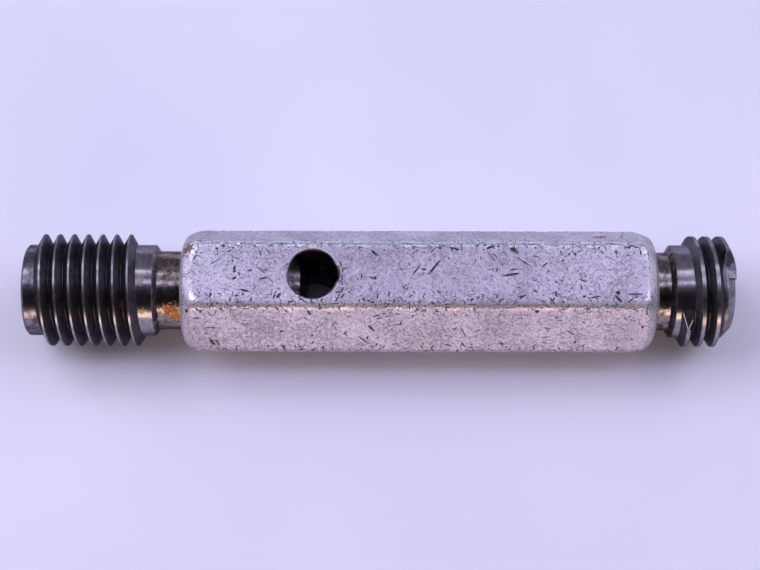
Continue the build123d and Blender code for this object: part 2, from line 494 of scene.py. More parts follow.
    def line(self, place: Socket, start: Vector, finish: Vector, width: float) -> Socket:
        """Return a thin line between two points.

        Args:
            place: Coordinates in millimetres.
            start: One end in metres.
            finish: The other end in metres.
            width: Width of the line in millimetres.

        Returns:
            1 on the line, 0 beside it.
        """
        run = (finish - start) / MM
        away = self.vector("SUBTRACT", {0: place, 1: tuple(start / MM)})
        reach = self.vector("DOT_PRODUCT", {0: away, 1: tuple(run / run.length_squared)})
        share = self.add("ShaderNodeClamp", {0: reach}).outputs[0]
        nearest = self.vector("SCALE", {0: tuple(run), "Scale": share})
        gap = self.vector("DISTANCE", {0: away, 1: nearest})
        return self.fade(gap, width * 0.6, width * 0.3)

    def bumped(self, height: Socket, strength: float, depth: float) -> Socket:
        """Return normals that follow a height, whose unit is a depth in millimetres."""
        feeds = {"Strength": strength, "Distance": depth * MM, "Height": height}
        return self.add("ShaderNodeBump", feeds).outputs[0]

    def surface(self, feeds: Feeds) -> None:
        """Link a principled surface to the output.

        Args:
            feeds: What each input of the surface takes.
        """
        shader = self.add("ShaderNodeBsdfPrincipled", feeds)
        output = self.add("ShaderNodeOutputMaterial")
        self.tree.links.new(shader.outputs[0], output.inputs["Surface"])


def new_material(name: str) -> tuple[bpy.types.Material, NodeGraph]:
    """Make an empty node material.

    Args:
        name: Name of the material.

    Returns:
        The material and its graph.
    """
    material = bpy.data.materials.new(name)
    material.use_nodes = True
    return material, NodeGraph(material.node_tree)


class BarPlace(NamedTuple):
    """Where a point of the handle lies: its coordinates, its angle from the top and its way from an edge."""

    whole: Socket
    along: Socket
    across: Socket
    rise: Socket
    angle: Socket
    beside: Socket


@dataclass(frozen=True)
class AluminiumFinish:
    """Old aluminium bar: mottled, pitted, scratched each way, rubbed bright at its ends and beside its edges,
    with a painted highlight on the edges that face the rear, a worn band with painted shade on those that face
    the front, and painted shade inside its bores and drift hole.

    Lengths are in millimetres.
    """

    axis_height: float
    half_flats: float
    low_x: float
    high_x: float
    hole_x: float
    hole_radius: float
    stains: tuple[Spot, ...]
    bright: Colour = (0.68, 0.625, 0.685)
    dull: Colour = (0.335, 0.303, 0.348)
    edge: Colour = (0.40, 0.38, 0.40)
    spark: Colour = (0.97, 0.96, 0.98)
    pit: Colour = (0.10, 0.095, 0.10)
    bore_shade: Colour = (0.035, 0.033, 0.036)
    stain: Colour = (0.16, 0.115, 0.05)
    rough_dull: float = 0.41
    rough_bright: float = 0.29
    rough_edge: float = 0.62
    rough_turned: float = 0.60
    rough_stain: float = 0.60
    turned_length: float = 3.4
    turned_fade: float = 1.6
    mottle: Cloud = Cloud(1.5, 5.0, 0.66)
    patches: Cloud = Cloud(0.11, 3.0)
    grain: Cloud = Cloud(5.0, 3.0, 0.6)
    ragged: Cloud = Cloud(1.6, 3.0)
    broken_line: Cloud = Cloud(1.0, 1.0, 0.4)
    pits: tuple[Speckle, ...] = (
        Speckle(Cloud(2.3), 0.645, 0.70),
        Speckle(Cloud(3.4, 1.0), 0.665, 0.70),
    )
    sparkle: Speckle = Speckle(Cloud(4.0), 0.69, 0.73)
    hairs: tuple[HairRun, ...] = (
        HairRun(14, 0.16, 7.0, 0.69),
        HairRun(-38, 0.22, 6.0, 0.69),
        HairRun(63, 0.20, 6.5, 0.70),
        HairRun(-74, 0.26, 5.5, 0.71),
        HairRun(88, 0.18, 7.5, 0.71),
    )
    ticks: tuple[TickRun, ...] = (
        TickRun(0.5, 0.40, 0.045, 0.7),
        TickRun(1.05, 0.36, 0.07, 0.6, (32.55, 17.0)),
        TickRun(1.9, 0.26, 0.11, 0.55, (58.9, 17.0)),
        TickRun(0.3, 0.42, 0.022, 0.6, (9.3, 17.0)),
    )

    def face_width(self) -> float:
        """Return the way round the bar from one edge to the next, measured at the edges."""
        return self.half_flats / math.cos(math.pi / 6) * math.pi / 3

    def where(self, graph: NodeGraph) -> BarPlace:
        """Work out where a point of the bar lies.

        Args:
            graph: The graph to add to.

        Returns:
            The point's place.
        """
        whole = graph.millimetres()
        along, across, up = graph.axes(whole)
        rise = graph.less(up, self.axis_height)
        angle = graph.math("ARCTAN2", across, rise)
        sixths = graph.math("FRACT", graph.math("DIVIDE", angle, math.pi / 3))
        beside = graph.times(graph.less(sixths, 0.5), self.face_width())
        return BarPlace(whole, along, across, rise, angle, beside)

    def scratches(self, graph: NodeGraph, bar: BarPlace) -> Socket:
        """Return hair lines in several directions, each broken up along its length.

        Args:
            graph: The graph to add to.
            bar: Where the point lies.

        Returns:
            1 on a line, 0 beside it.
        """
        lines = []
        for run in self.hairs:
            stretched = graph.mapped(bar.whole, (run.along, run.across, run.across * 0.6), run.turn)
            lines.append(graph.fade(graph.noise(stretched, self.broken_line), run.begins, run.begins + 0.05))
        return graph.most(*lines)

    def dints(self, graph: NodeGraph, bar: BarPlace) -> Socket:
        """Return short ticks all round the bar, weaker along the middle of each flat.

        Args:
            graph: The graph to add to.
            bar: Where the point lies.

        Returns:
            1 in a tick, 0 outside.
        """
        flat = graph.joined(bar.along, graph.times(bar.angle, self.half_flats))
        layers = [graph.ticks(flat, run) for run in self.ticks]
        return graph.times(graph.most(*layers), graph.fade(graph.size(bar.beside), 3.8, 1.0, 0.75, 1.0))

    def rubbed(self, graph: NodeGraph, bar: BarPlace) -> Socket:
        """Return where the metal is rubbed: at both ends, round the drift hole and just past the edges.

        Args:
            graph: The graph to add to.
            bar: Where the point lies.

        Returns:
            1 where it is rubbed, 0 elsewhere.
        """
        from_low = graph.fade(bar.along, self.low_x + 3.5, self.low_x + 0.5)
        from_high = graph.fade(bar.along, self.high_x - 9.0, self.high_x - 1.0)
        hole_centre = (self.hole_x, 0.0, self.axis_height + self.half_flats)
        from_hole = graph.vector("DISTANCE", {0: bar.whole, 1: hole_centre})
        rim = graph.fade(from_hole, self.hole_radius + 1.3, self.hole_radius + 0.2)
        past_edge = graph.times(graph.fade(bar.beside, -0.5, -0.8), graph.fade(bar.beside, -2.6, -1.4))
        return graph.most(from_low, from_high, rim, graph.times(past_edge, 0.6))

    def hollow_shade(self, graph: NodeGraph, bar: BarPlace) -> Socket:
        """Return where shade is painted inside: the bores away from the ends, and the drift hole below its
        rim.

        Args:
            graph: The graph to add to.
            bar: Where the point lies.

        Returns:
            1 inside, 0 outside.
        """
        radius = graph.radius(bar.whole, self.axis_height)
        bores = graph.times(
            graph.fade(radius, self.half_flats - 0.4, self.half_flats - 1.2),
            graph.fade(bar.along, self.low_x + 1.0, self.low_x + 3.0),
            graph.fade(bar.along, self.high_x - 1.0, self.high_x - 3.0),
        )
        depth = graph.less(graph.times(bar.across, 0.08), graph.size(bar.rise))
        below = graph.fade(depth, 0.3 - self.half_flats, 0.55 - self.half_flats)
        from_hole = graph.squares(graph.less(bar.along, self.hole_x), bar.across)
        within = graph.fade(from_hole, (self.hole_radius + 0.4) ** 2, (self.hole_radius + 0.2) ** 2)
        return graph.most(bores, graph.times(below, within))

    def material(self) -> bpy.types.Material:
        """Make the finish.

        Returns:
            The finish as a material.
        """
        material, graph = new_material("worn_aluminium")
        bar = self.where(graph)
        mottle = graph.noise(bar.whole, self.mottle)
        pits = graph.most(*(graph.speckle(bar.whole, look) for look in self.pits))
        lines = self.scratches(graph, bar)
        dints = self.dints(graph, bar)
        rubbed = self.rubbed(graph, bar)

        ragged = graph.times(graph.less(graph.noise(bar.whole, self.ragged), 0.5), 1.6)
        from_edge = graph.plus(graph.size(graph.less(bar.beside, 0.2)), ragged)
        edges = graph.fade(from_edge, 1.0, 0.6)
        # Painted highlight: the edges that face the rear are lit almost white
        rear_edge_highlight = graph.times(edges, graph.fade(bar.angle, -0.3, 0.1))
        # Worn, rough band on the edges that face the front, with painted shade greying it
        front_edge_wear_and_shade = graph.times(edges, graph.fade(bar.angle, 0.1, -0.3))
        low_end, high_end = self.low_x + self.turned_length, self.high_x - self.turned_length
        turned_low = graph.fade(bar.along, low_end, low_end - self.turned_fade)
        turned_high = graph.fade(bar.along, high_end, high_end + self.turned_fade)
        turned = graph.most(turned_low, turned_high)

        patches = graph.noise(bar.whole, self.patches)
        tone = graph.plus(graph.times(mottle, 0.62), graph.times(patches, 0.38))
        lifted = graph.most(graph.fade(tone, 0.37, 0.63), graph.times(rubbed, 0.85))
        colour = graph.blend(lifted, self.dull, self.bright)
        for mark, strength, over in (
            # worn band with painted shade on the edges that face the front
            (front_edge_wear_and_shade, 0.55, self.edge),
            # painted highlight on the edges that face the rear
            (rear_edge_highlight, 0.7, self.spark),
            (turned_high, 0.45, self.edge),
            (lines, 0.45, self.pit),
            (pits, 0.85, self.pit),
            (dints, 0.9, self.pit),
            (graph.speckle(bar.whole, self.sparkle), 0.8, self.spark),
            # painted shade inside the bores and the drift hole
            (self.hollow_shade(graph, bar), 0.95, self.bore_shade),
        ):
            colour = graph.tint(colour, mark, strength, over)
        polish = graph.fade(tone, 0.3, 0.7, self.rough_dull, self.rough_bright)
        rough = graph.most(
            graph.less(polish, graph.times(rubbed, 0.04)),
            graph.times(front_edge_wear_and_shade, self.rough_edge),
            graph.times(turned, self.rough_turned),
        )
        for centre, reach in self.stains:
            spot = graph.near(bar.whole, centre, reach, mottle)
            colour = graph.tint(colour, spot, 0.85, self.stain)
            rough = graph.most(rough, graph.times(spot, self.rough_stain))

        height = graph.plus(
            graph.times(mottle, 0.9),
            graph.times(graph.noise(bar.whole, self.grain), 0.35),
            graph.times(front_edge_wear_and_shade, graph.plus(ragged, mottle)),
            graph.times(turned, mottle),
            graph.times(lines, -0.5),
            graph.times(pits, -0.6),
            graph.times(dints, -1.2),
        )
        normal = graph.bumped(height, 0.6, 0.05)
        graph.surface({"Base Color": colour, "Metallic": 1.0, "Roughness": rough, "Normal": normal})
        return material


@dataclass(frozen=True)
class DarkNickFinish:
    """Darker colour on the walls of the handle's nicks."""

    dark: Colour = (0.045, 0.04, 0.045)
    light: Colour = (0.13, 0.122, 0.128)
    rough_dark: float = 0.62
    rough_light: float = 0.42
    metal: float = 0.35
    uneven: Cloud = Cloud(1.7, 3.0)

    def material(self) -> bpy.types.Material:
        """Make the finish.

        Returns:
            The finish as a material.
        """
        material, graph = new_material("dark_nick_lining")
        uneven = graph.noise(graph.millimetres(), self.uneven)
        feeds = {
            "Base Color": graph.blend(graph.fade(uneven, 0.40, 0.68), self.dark, self.light),
            "Metallic": self.metal,
            "Roughness": graph.fade(uneven, 0.3, 0.7, self.rough_dark, self.rough_light),
            "Normal": graph.bumped(uneven, 0.4, 0.03),
        }
        graph.surface(feeds)
        return material


@dataclass(frozen=True)
class ZoneLook:
    """Look of one zone of a steel member: its darkest and lightest tone, and its roughness."""

    dark: Colour
    light: Colour
    rough: float


class SteelZones(NamedTuple):
    """Shares of a member's surface, each 1 inside its zone and 0 outside."""

    front: Socket
    collar: Socket
    thread: Socket
    crest: Socket
    shank: Socket


@dataclass(frozen=True)
class SteelFinish:
    """Old gauge steel: flanks and roots painted dark as shade between the crests, rubbed crests, a ground
    collar, and grime and rust by the handle.

    Places along the axis are measured outwards from the middle of the gauge, in millimetres.
    """

    name: str
    outwards: float
    axis_height: float
    crest_radius: float
    root_radius: float
    thread_inner: float
    thread_outer: float
    handle_end: float
    front_end: float
    front: ZoneLook
    crest: ZoneLook
    gilding: float
    lumps: float
    rust: tuple[Spot, ...]
    stains: tuple[Spot, ...]
    shade_patches: tuple[Spot, ...]
    glints: tuple[tuple[Vector, Vector], ...]
    glint_width: float = 0.18
    soft: float = 0.12
    collar: ZoneLook = ZoneLook((0.22, 0.21, 0.214), (0.37, 0.353, 0.353), 0.19)
    # Painted shade: the thread's flanks and roots are darker than its crests and the collar
    thread: ZoneLook = ZoneLook((0.10, 0.092, 0.103), (0.18, 0.166, 0.184), 0.36)
    shank: ZoneLook = ZoneLook((0.04, 0.035, 0.034), (0.40, 0.365, 0.34), 0.19)
    gold: Colour = (0.44, 0.27, 0.10)
    fleck: Colour = (0.62, 0.58, 0.54)
    rust_light: Colour = (0.62, 0.27, 0.085)
    rust_dark: Colour = (0.14, 0.06, 0.03)
    stain: Colour = (0.36, 0.26, 0.12)
    patch_shade: Colour = (0.03, 0.028, 0.031)
    glint: Colour = (0.58, 0.54, 0.52)
    grazing: Colour = (0.42, 0.40, 0.44)
    rough_rust: float = 0.6
    rough_stain: float = 0.5
    turning: Cloud = Cloud(9.0, 4.0, 0.7)
    clouding: Cloud = Cloud(0.7, 4.0, 0.65)
    specking: Cloud = Cloud(3.2, 3.0, 0.6)
    streaking: Cloud = Cloud(1.0, 5.0, 0.7)
    streak_scale: tuple[float, float, float] = (2.4, 0.8, 0.8)
    lumping: Cloud = Cloud(0.55)
    rusting: Cloud = Cloud(1.1, 5.0, 0.7)
    pocks: Speckle = Speckle(Cloud(4.5), 0.66, 0.74)

    def zones(self, graph: NodeGraph, outward: Socket, radius: Socket) -> SteelZones:
        """Return the zones of the member.

        Args:
            graph: The graph to add to.
            outward: Place along the axis.
            radius: Distance from the axis.

        Returns:
            The share of each zone.
        """
        past_inner = graph.fade(outward, self.thread_inner - self.soft, self.thread_inner + self.soft)
        past_outer = graph.fade(outward, self.thread_outer - self.soft, self.thread_outer + self.soft)
        within_inner = graph.less(1.0, past_inner)
        between = graph.times(past_inner, graph.less(1.0, past_outer))
        ridge = graph.fade(radius, self.root_radius + 0.04, self.root_radius + 0.16)
        neck = graph.fade(radius, self.root_radius - 0.08, self.root_radius - 0.3)
        return SteelZones(
            front=past_outer,
            collar=within_inner,
            thread=graph.most(between, ridge),
            crest=graph.fade(radius, self.crest_radius - 0.035, self.crest_radius - 0.005),
            shank=graph.times(neck, within_inner),
        )

    def material(self) -> bpy.types.Material:
        """Make the finish.

        Returns:
            The finish as a material.
        """
        material, graph = new_material(self.name)
        place = graph.millimetres()
        along, _, _ = graph.axes(place)
        outward = graph.times(along, self.outwards)
        radius = graph.radius(place, self.axis_height)
        zones = self.zones(graph, outward, radius)
        rings = graph.noise(graph.joined(along, radius), self.turning)
        cloud = graph.noise(place, self.clouding)
        speck = graph.noise(place, self.specking)
        streaks = graph.noise(graph.mapped(place, self.streak_scale), self.streaking)

        # Ground tones of the zones, with turned rings on the end face
        faced = graph.fade(outward, self.front_end - 0.2, self.front_end - 0.05)
        ring_share = graph.plus(graph.times(faced, 0.45), 0.4)
        cloud_share = graph.less(0.6, graph.times(faced, 0.45))
        tone = graph.plus(graph.times(rings, ring_share), graph.times(cloud, cloud_share))
        share = graph.fade(tone, 0.36, 0.64)
        colour = graph.blend(share, self.front.dark, self.front.light)
        rough = graph.plus(graph.fade(tone, 0.35, 0.65, 0.05, -0.04), self.front.rough)
        for zone, look in zip(zones[1:], (self.collar, self.thread, self.crest, self.shank)):
            colour = graph.blend(zone, colour, graph.blend(share, look.dark, look.light))
            rough = graph.plus(rough, graph.times(zone, graph.less(look.rough, rough)))

        # Varnish and bare flecks by the handle, and small dark pocks all over
        mouth = graph.times(
            graph.fade(outward, self.handle_end + 6.5, self.handle_end + 2.0),
            graph.fade(outward, self.handle_end - 1.5, self.handle_end - 0.3),
        )
        golden = graph.times(zones.shank, mouth, graph.fade(streaks, 0.50, 0.64))
        colour = graph.tint(colour, golden, self.gilding, self.gold)
        flecks = graph.times(zones.shank, graph.fade(speck, 0.63, 0.70))
        colour = graph.blend(flecks, colour, self.fleck)
        colour = graph.tint(colour, graph.speckle(place, self.pocks), 0.5, self.thread.dark)
        height = graph.plus(
            graph.times(rings, 0.5),
            graph.times(cloud, 0.6),
            graph.times(zones.shank, graph.plus(streaks, speck)),
            graph.times(graph.less(zones.front, faced), graph.noise(place, self.lumping), self.lumps),
        )

        # Blotches at their own places: painted shade patches, stains and rust
        # Painted shade: dark patches laid over facets that face a lamp
        for centre, reach in self.shade_patches:
            spot = graph.near(place, centre, reach, cloud)
            colour = graph.tint(colour, spot, 0.9, self.patch_shade)
        for centre, reach in self.stains:
            spot = graph.near(place, centre, reach, speck)
            colour = graph.tint(colour, spot, 0.65, self.stain)
            rough = graph.most(rough, graph.times(spot, self.rough_stain))
        crust = graph.blend(graph.fade(speck, 0.36, 0.60), self.rust_dark, self.rust_light)
        for centre, reach in self.rust:
            spot = graph.near(place, centre, reach, graph.noise(place, self.rusting))
            colour = graph.tint(colour, spot, 0.95, crust)
            rough = graph.most(rough, graph.times(spot, self.rough_rust))
            height = graph.plus(height, graph.times(spot, speck, 2.0))
        metal: Feed = 1.0
        for start, finish in self.glints:
            bright = graph.line(place, start, finish, self.glint_width)
            colour = graph.blend(bright, colour, self.glint)
            metal = graph.less(metal, bright)
        feeds = {
            "Base Color": colour,
            "Metallic": metal,
            "Roughness": rough,
            "Specular Tint": (*self.grazing, 1.0),
            "Normal": graph.bumped(height, 0.5, 0.03),
        }
        graph.surface(feeds)
        return material


@dataclass(frozen=True)
class PaperFinish:
    """Matt pale paper, hardly uneven."""

    pale: Colour = (0.86, 0.85, 0.90)
    shade: Colour = (0.80, 0.79, 0.86)
    rough: float = 0.9
    sheen: float = 0.2
    tone: Cloud = Cloud(0.012)
    waves: Cloud = Cloud(0.05)

    def material(self) -> bpy.types.Material:
        """Make the finish.

        Returns:
            The finish as a material.
        """
        material, graph = new_material("pale_paper")
        place = graph.millimetres()
        tone = graph.fade(graph.noise(place, self.tone), 0.3, 0.7)
        feeds = {
            "Base Color": graph.blend(tone, self.pale, self.shade),
            "Roughness": self.rough,
            "Specular IOR Level": self.sheen,
            "Normal": graph.bumped(graph.noise(place, self.waves), 0.25, 0.4),
        }
        graph.surface(feeds)
        return material


def merged_copy(node: str, name: str) -> bpy.types.Object:
    """Return a new object with a CAD node's mesh, its loose triangles merged and its loaded normals dropped.

    Args:
        node: The CAD node.
        name: Name of the new piece.

    Returns:
        The new object, linked to the scene.
    """
    shape = bmesh.new()
    shape.from_mesh(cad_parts[node].data)
    bmesh.ops.remove_doubles(shape, verts=shape.verts, dist=MERGE_GAP * MM)
    bmesh.ops.dissolve_degenerate(shape, edges=shape.edges, dist=SLIVER * MM)
    piece = solid(name, shape)
    loaded_normals = piece.data.attributes.get("custom_normal")
    if loaded_normals is not None:
        piece.data.attributes.remove(loaded_normals)
    return piece


def surface_tree(piece: bpy.types.Object) -> BVHTree:
    """Make a search tree of a piece's surface.

    Args:
        piece: The piece.

    Returns:
        The tree.
    """
    shape = bmesh.new()
    shape.from_mesh(piece.data)
    tree = BVHTree.FromBMesh(shape)
    shape.free()
    return tree


@dataclass
class NickCutter:
    """Wedges that cut nicks into a surface, gathered in one mesh.

    A wedge stands proud by a share of its depth, and each tip tapers over a share of its length, its shoulder.
    """

    tree: BVHTree
    shape: bmesh.types.BMesh = field(default_factory=bmesh.new)
    proud: float = 0.35
    shoulder: float = 0.3

    def wedge(self, start: Vector, finish: Vector, outward: Vector, weight: Weight) -> None:
        """Add a boat-shaped wedge between two points of the surface.

        Args:
            start: One tip.
            finish: The other tip.
            outward: Direction out of the surface.
            weight: Width and depth of the nick.
        """
        width, depth = (size * MM for size in weight.value)
        run = finish - start
        side = run.cross(outward).normalized() * width * (0.5 + self.proud / 2)
        lift = outward * depth * self.proud
        points = [start + lift, finish + lift]
        for share in (self.shoulder, 1 - self.shoulder):
            keel = start + run * share
            points += [keel - outward * depth, keel + lift + side, keel + lift - side]
        verts = [self.shape.verts.new(point) for point in points]
        bmesh.ops.convex_hull(self.shape, input=verts)

    def from_pixels(self, view: PictureView, nicks: dict[Weight, tuple[Stroke, ...]]) -> None:
        """Add the nicks that are given by pixels of the picture frame.

        Args:
            view: The camera of the picture.
            nicks: Lines between two pixels, by weight.
        """
        for weight, strokes in nicks.items():
            for x0, y0, x1, y1 in strokes:
                start, start_normal = view.meet(self.tree, x0, y0)
                finish, finish_normal = view.meet(self.tree, x1, y1)
                if start is not None and finish is not None:
                    self.wedge(start, finish, (start_normal + finish_normal).normalized(), weight)

    def piece(self, name: str, slot: int) -> bpy.types.Object:
        """Return the wedges as one object.

        Args:
            name: Name of the object.
            slot: Material slot of its faces.

        Returns:
            The object, linked to the scene.
        """
        bmesh.ops.recalc_face_normals(self.shape, faces=self.shape.faces)
        for face in self.shape.faces:
            face.material_index = slot
        return solid(name, self.shape)


def combine(piece: bpy.types.Object, tool: bpy.types.Object, way: Combine) -> None:
    """Combine a piece with a tool and remove the tool.

    Args:
        piece: The object whose mesh is replaced.
        tool: The object that cuts it, or that it keeps its common part with.
        way: Which of the two is done.
    """
    for material in piece.data.materials:
        tool.data.materials.append(material)
    knife = piece.modifiers.new("combine", "BOOLEAN")
    knife.operation = way.value
    knife.solver = "EXACT"
    knife.use_self = way is Combine.CUT
    knife.object = tool
    bpy.context.view_layer.update()
    evaluated = piece.evaluated_get(bpy.context.evaluated_depsgraph_get())
    mesh = bpy.data.meshes.new_from_object(evaluated)
    piece.modifiers.clear()
    piece.data = mesh
    mesh.name = piece.name
    bpy.data.objects.remove(tool)


def break_edges(piece: bpy.types.Object, width: float, sharp_angle: float) -> None:
    """Break the sharp edges of a piece with a narrow bevel.

    Args:
        piece: The piece to change.
        width: Width of the bevel in millimetres.
        sharp_angle: Angle in degrees past which an edge is broken.
    """
    bevel = piece.modifiers.new("broken_edges", "BEVEL")
    bevel.width = width * MM
    bevel.segments = 1
    bevel.limit_method = "ANGLE"
    bevel.angle_limit = math.radians(sharp_angle)
    bevel.use_clamp_overlap = True


def shade(piece: bpy.types.Object, sharp_angle: float) -> None:
    """Shade a piece smooth, apart from its sharp edges.

    Args:
        piece: The piece to shade.
        sharp_angle: Angle in degrees past which an edge stays sharp.
    """
    piece.data.shade_smooth()
    piece.data.set_sharp_from_angle(angle=math.radians(sharp_angle))
    weighted = piece.modifiers.new("even_normals", "WEIGHTED_NORMAL")
    weighted.keep_sharp = True


def hand_over(piece: bpy.types.Object, node: str) -> None:
    """Set a finished piece in a CAD node's place and report it.

    Args:
        piece: The finished piece.
        node: The CAD node that it stands for.
    """
    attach(piece, BODY)
    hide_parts(node)
    LOG.info("%s: %d faces for %s", piece.name, len(piece.data.polygons), node)


class Knocks(NamedTuple):
    """Dents of one size: waves along an edge, from edge to edge and across it, and the noise kept off."""

    along: float
    from_edge: float
    across: float
    floor: float


@dataclass(frozen=True)
class WornSkin:
    """Skin of the hexagonal bar as wear has left it: soft edges with dents in them, and soft turned ends.

    Lengths are in millimetres. The skin lies a little inside the CAD bar.
    """

    low: Vector
    high: Vector
    inset: float = 0.015
    edge_radius: float = 1.45
    rim_inset: float = 0.9
    corner_runout: float = 3.0
    blend: float = 1.1
    rim_reach: float = 0.9
    rim_drop: float = 1.1
    dent_depth: float = 0.30
    dent_reach: float = math.radians(6.0)
    knocks: tuple[Knocks, ...] = (Knocks(0.35, 7.3, 6.0, 0.05), Knocks(1.1, 5.1, 22.0, 0.12))
    edge_crowding: float = 0.85
    end_crowding: float = 0.6
    segments: int = 90
    rings: int = 300

    def half_flats(self) -> float:
        """Return the distance from the axis to a flat."""
        return (self.high.z - self.low.z) / 2 - self.inset

    def hexagon(self, from_edge: float) -> float:
        """Return the radius of the rounded hexagon.

        Args:
            from_edge: Angle from the nearest edge in radians, up to 30 degrees either way.

        Returns:
            The radius in millimetres.
        """
        half = self.half_flats()
        arc_centre = (half - self.edge_radius) / math.cos(math.pi / 6)
        touch = math.pi / 6 - math.atan2((half - self.edge_radius) * math.tan(math.pi / 6), half)
        if abs(from_edge) >= touch:
            return half / math.cos(math.pi / 6 - abs(from_edge))
        aside = arc_centre * math.sin(from_edge)
        return arc_centre * math.cos(from_edge) + math.sqrt(self.edge_radius**2 - aside**2)

    def dent(self, x: float, edge: int, from_edge: float) -> float:
        """Return how far an edge is knocked in.

        Args:
            x: Place along the axis.
            edge: Number of the edge.
            from_edge: Angle from the edge in radians.

        Returns:
            The depth in millimetres.
        """
        nearness = max(0.0, 1 - abs(from_edge) / self.dent_reach)
        knocked = 0.0
        for knock in self.knocks:
            spot = Vector((x * knock.along, edge * knock.from_edge, from_edge * knock.across))
            knocked += max(0.0, noise.noise(spot) - knock.floor)
        return self.dent_depth * nearness * knocked

    def radius(self, x: float, edge: int, from_edge: float) -> float:
        """Return the radius of the skin.

        Args:
            x: Place along the axis.
            edge: Number of the nearest edge.
            from_edge: Angle from that edge in radians.

        Returns:
            The radius in millimetres.
        """
        half = self.half_flats()
        rim = half - self.rim_inset
        depth = min(x - self.low.x, self.high.x - x)
        side = self.hexagon(from_edge) - self.dent(x, edge, from_edge)
        end = rim + (half / math.cos(math.pi / 6) - rim) * depth / self.corner_runout
        overlap = max(self.blend - abs(side - end), 0.0) / self.blend
        rounding = self.rim_drop * max(0.0, 1 - depth / self.rim_reach) ** 2
        return min(side, end) - overlap**2 * self.blend / 4 - rounding

    def place(self, point: Vector) -> Vector:
        """Return where a point of a unit cylinder along X lies on the skin.

        Args:
            point: The point, with X from -0.5 to 0.5.

        Returns:
            Its place in metres.
        """
        share = point.x + 0.5
        share -= self.end_crowding * math.sin(math.tau * share) / math.tau
        x = self.low.x + self.inset + (self.high.x - self.low.x - 2 * self.inset) * share
        sixth = math.pi / 3
        angle = math.atan2(point.z, point.y)
        edge = round(angle / sixth)
        offset = angle / sixth - edge
        offset += self.edge_crowding * (4 * offset**3 - offset)
        radius = self.radius(x, edge % 6, offset * sixth)
        turned = (edge + offset) * sixth
        height = (self.low.z + self.high.z) / 2
        return Vector((x, radius * math.cos(turned), height + radius * math.sin(turned))) * MM

    def build(self) -> bpy.types.Object:
        """Make the skin.

        Returns:
            The skin as a closed solid.
        """
        shape = bmesh.new()
        along = Matrix.Rotation(math.radians(90), 4, "Y")
        sizes = {"segments": self.segments, "radius1": 1.0, "radius2": 1.0, "depth": 1.0}
        bmesh.ops.create_cone(shape, cap_ends=True, matrix=along, **sizes)
        sides = [edge for edge in shape.edges if abs(edge.verts[0].co.x - edge.verts[1].co.x) > 0.5]
        bmesh.ops.subdivide_edges(shape, edges=sides, cuts=self.rings)
        for vert in shape.verts:
            vert.co = self.place(vert.co)
        bmesh.ops.recalc_face_normals(shape, faces=shape.faces)
        return solid("worn_skin", shape)


@dataclass
class Handle:
    """Hexagonal handle with the nicks of long use. Lengths are in millimetres and angles in degrees."""

    view: PictureView
    node: str = HANDLE_NODE
    slot: str = "handle_aluminium"
    scatter: int = 2600
    at_edges: float = 0.72
    edge_spread: float = 6.0
    seed: int = 7
    log_length: float = -0.1
    log_spread: float = 0.5
    longest: float = 3.5
    mix: dict[Weight, int] = field(
        default_factory=lambda: {Weight.HAIR: 5, Weight.FINE: 4, Weight.PLAIN: 2}
    )
    facing: float = 0.8
    hole_setback: float = 25.86
    hole_radius: float = 4.85
    sharp_angle: float = 14.0
    stain_pixels: tuple[PixelSpot, ...] = ((186.0, 249.0, 1.6), (600.0, 236.5, 1.5))

    def scatter_nicks(self, cutter: NickCutter) -> None:
        """Add small nicks at random all round the bar.

        Args:
            cutter: The cutter that takes them.
        """
        draw = random.Random(self.seed)
        low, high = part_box(self.node)
        axis = (low + high) / 2
        lengthwise = Vector((1.0, 0.0, 0.0))
        for _ in range(self.scatter):
            angle = draw.uniform(0, math.tau)
            if draw.random() < self.at_edges:
                angle = math.radians(60 * draw.randrange(6) + draw.gauss(0, self.edge_spread))
            x = draw.uniform(low.x, high.x)
            outward = Vector((0.0, math.cos(angle), math.sin(angle)))
            origin = Vector((x, 0.0, axis.z)) + outward * (high - low).z
            place, normal, _, _ = cutter.tree.ray_cast(origin, -outward)
            heading = draw.uniform(0, math.pi)
            length = min(draw.lognormvariate(self.log_length, self.log_spread), self.longest) * MM
            weight = draw.choices(tuple(self.mix), tuple(self.mix.values()))[0]
            if place is None or normal.dot(outward) < self.facing:
                continue
            across = normal.cross(lengthwise).normalized()
            run = (lengthwise * math.cos(heading) + across * math.sin(heading)) * length / 2
            cutter.wedge(place - run, place + run, normal, weight)

    def build(self) -> bpy.types.Object:
        """Make the handle and cut its nicks.

        Returns:
            The dressed handle.
        """
        piece = merged_copy(self.node, "worn_handle")
        low, high = (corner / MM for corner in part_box(self.node))
        combine(piece, WornSkin(low, high).build(), Combine.COMMON)
        tree = surface_tree(piece)
        self.dress(piece, tree)
        cutter = NickCutter(tree)
        cutter.from_pixels(self.view, HANDLE_NICKS)
        self.scatter_nicks(cutter)
        combine(piece, cutter.piece("nick_cutter", 1), Combine.CUT)
        shade(piece, self.sharp_angle)
        hand_over(piece, self.node)
        return piece

    def dress(self, piece: bpy.types.Object, tree: BVHTree) -> None:
        """Give the handle its finishes: bare metal, and a darker one for the nicks.

        Args:
            piece: The handle.
            tree: Search tree of its surface.
        """
        low, high = (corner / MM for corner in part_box(self.node))
        metal = AluminiumFinish(
            axis_height=(low.z + high.z) / 2,
            half_flats=(high.z - low.z) / 2,
            low_x=low.x,
            high_x=high.x,
            hole_x=low.x + self.hole_setback,
            hole_radius=self.hole_radius,
            stains=self.view.spots(tree, self.stain_pixels),
        )
        piece.data.materials.append(metal.material())
        piece.data.materials.append(DarkNickFinish().material())


